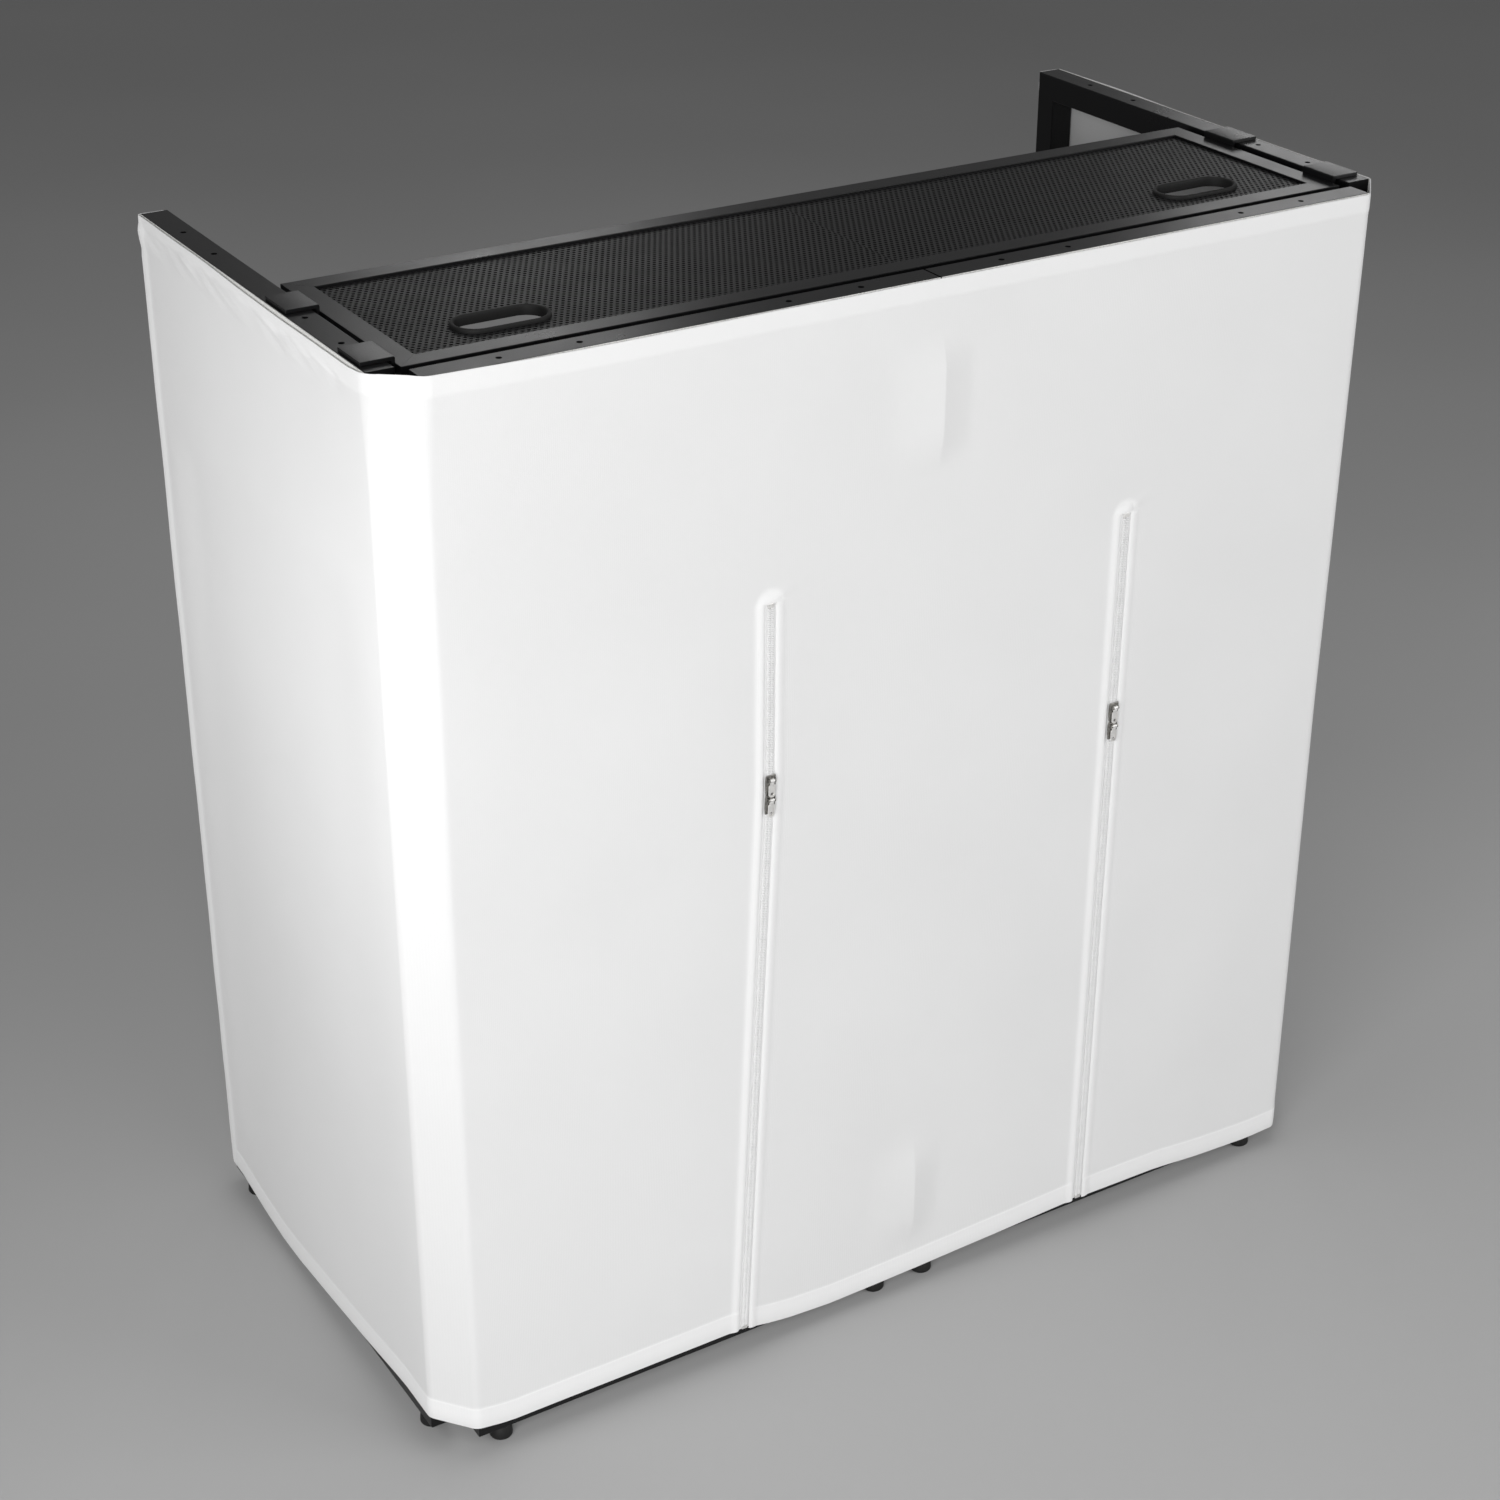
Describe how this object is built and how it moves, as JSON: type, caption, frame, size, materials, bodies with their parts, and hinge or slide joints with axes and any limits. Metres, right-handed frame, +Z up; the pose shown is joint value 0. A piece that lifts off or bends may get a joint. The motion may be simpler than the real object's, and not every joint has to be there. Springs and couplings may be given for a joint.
{
  "type": "folding dj booth",
  "caption": "Folding facade booth: hinged tube panels with folding wings, a white stretch scrim closed by zips, and a perforated shelf that hooks over the wing rails.",
  "frame": {"origin": "on the floor, at the middle of the object's box", "axes": "+X to the right as the audience sees the front, -Y towards the audience, +Z up"},
  "size_m": [1.2012, 0.6134, 1.244],
  "materials": {
    "black_powder_coated_steel": "satin powder coat with a fine texture",
    "black_perforated_steel": "satin powder coat on perforated sheet",
    "black_hook_plate": "satin powder coat on bent plate",
    "black_rubber": "matt moulded rubber",
    "black_rubber_edge": "satin extruded rubber",
    "zinc_plated_leaf": "bright zinc plate",
    "steel_pin": "plain drawn steel",
    "white_hook_strip": "matt woven strip with hooks",
    "white_stretch_scrim": "matt stretch knit",
    "white_zip_tape": "woven tape with a nylon coil",
    "nickel_plated_zinc": "nickel plate on die-cast zinc"
  },
  "bodies": {
    "front_left": {"front_left_top_rail": "black_powder_coated_steel", "front_left_bottom_rail": "black_powder_coated_steel", "front_left_stiles": "black_powder_coated_steel", "front_left_feet": "black_rubber", "left_corner_front_leaves": "zinc_plated_leaf", "centre_left_leaves": "zinc_plated_leaf", "left_hinge_pins": "steel_pin", "front_left_hook_strip": "white_hook_strip", "front_left_scrim": "white_stretch_scrim", "left_corner_scrim": "white_stretch_scrim", "centre_scrim": "white_stretch_scrim", "left_zip_tapes": "white_zip_tape", "left_zip_stops": "nickel_plated_zinc"},
    "left_wing": {"left_wing_top_rail": "black_powder_coated_steel", "left_wing_bottom_rail": "black_powder_coated_steel", "left_wing_stiles": "black_powder_coated_steel", "left_wing_cross_rail": "black_powder_coated_steel", "left_wing_feet": "black_rubber", "left_corner_wing_leaves": "zinc_plated_leaf", "left_wing_hook_strip": "white_hook_strip", "left_wing_scrim": "white_stretch_scrim"},
    "front_right": {"front_right_top_rail": "black_powder_coated_steel", "front_right_bottom_rail": "black_powder_coated_steel", "front_right_stiles": "black_powder_coated_steel", "front_right_feet": "black_rubber", "centre_right_leaves": "zinc_plated_leaf", "right_corner_front_leaves": "zinc_plated_leaf", "right_hinge_pins": "steel_pin", "front_right_hook_strip": "white_hook_strip", "front_right_scrim": "white_stretch_scrim", "right_corner_scrim": "white_stretch_scrim", "right_zip_tapes": "white_zip_tape", "right_zip_stops": "nickel_plated_zinc"},
    "right_wing": {"right_wing_top_rail": "black_powder_coated_steel", "right_wing_bottom_rail": "black_powder_coated_steel", "right_wing_stiles": "black_powder_coated_steel", "right_wing_cross_rail": "black_powder_coated_steel", "right_wing_feet": "black_rubber", "right_corner_wing_leaves": "zinc_plated_leaf", "right_wing_hook_strip": "white_hook_strip", "right_wing_scrim": "white_stretch_scrim"},
    "shelf": {"shelf_long_tubes": "black_powder_coated_steel", "shelf_end_tubes": "black_powder_coated_steel", "shelf_deck": "black_perforated_steel", "shelf_brace": "black_powder_coated_steel", "left_hooks": "black_hook_plate", "right_hooks": "black_hook_plate", "left_grommet": "black_rubber_edge", "right_grommet": "black_rubber_edge"},
    "left_upper_slider": {"left_upper_slider": "nickel_plated_zinc"},
    "left_upper_pull": {"left_upper_pull": "nickel_plated_zinc"},
    "left_lower_slider": {"left_lower_slider": "nickel_plated_zinc"},
    "left_lower_pull": {"left_lower_pull": "nickel_plated_zinc"},
    "right_upper_slider": {"right_upper_slider": "nickel_plated_zinc"},
    "right_upper_pull": {"right_upper_pull": "nickel_plated_zinc"},
    "right_lower_slider": {"right_lower_slider": "nickel_plated_zinc"},
    "right_lower_pull": {"right_lower_pull": "nickel_plated_zinc"}
  },
  "joints": [
    {"name": "shelf_lift", "type": "slide", "parent": "front_left", "child": "shelf", "axis": [0, 0, 1], "range_m": [0, 1.3]},
    {"name": "left_wing_fold", "type": "hinge", "parent": "front_left", "child": "left_wing", "pos_m": [-0.564, -0.25775, 0.62], "axis": [0, 0, -1], "range_deg": [0, 90], "deforming": ["left_corner_scrim"]},
    {"name": "centre_fold", "type": "hinge", "parent": "front_left", "child": "front_right", "pos_m": [0, -0.29925, 0.62], "axis": [0, 0, -1], "range_deg": [0, 170], "deforming": ["centre_scrim"]},
    {"name": "right_wing_fold", "type": "hinge", "parent": "front_right", "child": "right_wing", "pos_m": [0.564, -0.25775, 0.62], "axis": [0, 0, 1], "range_deg": [0, 90], "deforming": ["right_corner_scrim"]},
    {"name": "left_upper_slide", "type": "slide", "parent": "front_left", "child": "left_upper_slider", "axis": [0, 0, 1], "range_m": [0, 0.187]},
    {"name": "left_lower_slide", "type": "slide", "parent": "front_left", "child": "left_lower_slider", "axis": [-0.0408, 0, -0.9992], "range_m": [0, 0.6612]},
    {"name": "left_upper_pull_swing", "type": "hinge", "parent": "left_upper_slider", "child": "left_upper_pull", "pos_m": [-0.1965, -0.30475, 0.738], "axis": [-1, 0, 0], "range_deg": [0, 170]},
    {"name": "left_lower_pull_swing", "type": "hinge", "parent": "left_lower_slider", "child": "left_lower_pull", "pos_m": [-0.19672, -0.30475, 0.7152], "axis": [-0.9992, 0, 0.0408], "range_deg": [0, 120]},
    {"name": "right_upper_slide", "type": "slide", "parent": "front_right", "child": "right_upper_slider", "axis": [0, 0, 1], "range_m": [0, 0.22]},
    {"name": "right_lower_slide", "type": "slide", "parent": "front_right", "child": "right_lower_slider", "axis": [0, 0, -1], "range_m": [0, 0.6282]},
    {"name": "right_upper_pull_swing", "type": "hinge", "parent": "right_upper_slider", "child": "right_upper_pull", "pos_m": [0.2525, -0.30475, 0.705], "axis": [-1, 0, 0], "range_deg": [0, 170]},
    {"name": "right_lower_pull_swing", "type": "hinge", "parent": "right_lower_slider", "child": "right_lower_pull", "pos_m": [0.2525, -0.30475, 0.6822], "axis": [-1, 0, 0], "range_deg": [0, 120]}
  ],
  "couplings": [
    {"joint": "left_wing_fold", "follows": "shelf_lift", "rad_per_m": 1.208},
    {"joint": "centre_fold", "follows": "shelf_lift", "rad_per_m": 2.282},
    {"joint": "right_wing_fold", "follows": "shelf_lift", "rad_per_m": 1.208}
  ]
}
